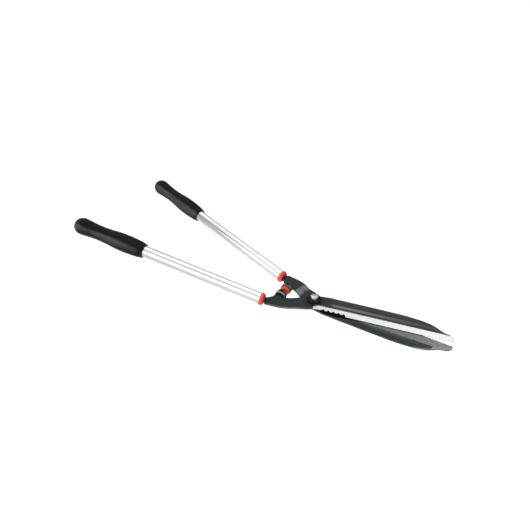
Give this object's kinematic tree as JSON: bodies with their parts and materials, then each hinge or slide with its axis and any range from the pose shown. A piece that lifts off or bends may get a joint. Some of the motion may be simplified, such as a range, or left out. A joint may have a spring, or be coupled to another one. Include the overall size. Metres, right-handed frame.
{
  "type": "hedge shears",
  "caption": "Long-handled hedge shears: crossed steel blades on an adjustable pivot, aluminium tube handles with black grips and rubber buffers.",
  "frame": {"origin": "centre of the pivot bolt head's lower face, on the pivot axis", "axes": "+X along the blades to their tips, +Y towards the lower arm's handle, +Z along the pivot axis from the bolt head to the nut"},
  "size_m": [0.7455, 0.284, 0.139],
  "materials": {
    "painted_steel": "satin slate paint, ground bright along the edge",
    "bright_steel": "plated, bright",
    "bronze": "turned bearing bronze",
    "black_plastic": "moulded, satin",
    "orange_plastic": "moulded, semi-gloss",
    "aluminium_tube": "drawn, bright anodised",
    "grip_plastic": "moulded soft plastic, fine texture",
    "orange_rubber": "moulded",
    "black_rubber": "moulded"
  },
  "bodies": {
    "lower_arm": {"lower_blade": "painted_steel", "lower_collar": "orange_plastic", "lower_insert": "black_plastic", "lower_insert_pin": "bright_steel", "lower_tube": "aluminium_tube", "lower_grip": "grip_plastic", "lower_buffer": "orange_rubber", "lower_buffer_holder": "black_plastic", "lower_buffer_rivet": "bright_steel", "pivot_bolt": "bright_steel", "head_washer": "bright_steel", "pivot_bush": "bronze", "spring_washer": "bright_steel", "tension_ring": "black_plastic", "pivot_nut": "bright_steel"},
    "upper_arm": {"upper_blade": "painted_steel", "upper_collar": "orange_plastic", "upper_insert": "black_plastic", "upper_insert_pin": "bright_steel", "upper_tube": "aluminium_tube", "upper_grip": "grip_plastic", "upper_buffer": "black_rubber", "upper_buffer_holder": "black_plastic", "upper_buffer_rivet": "bright_steel"}
  },
  "joints": [
    {"name": "blade_pivot", "type": "hinge", "parent": "lower_arm", "child": "upper_arm", "pos_m": [0, 0, 0.01155], "axis": [0, 0, 1], "range_deg": [-6, 60]}
  ]
}
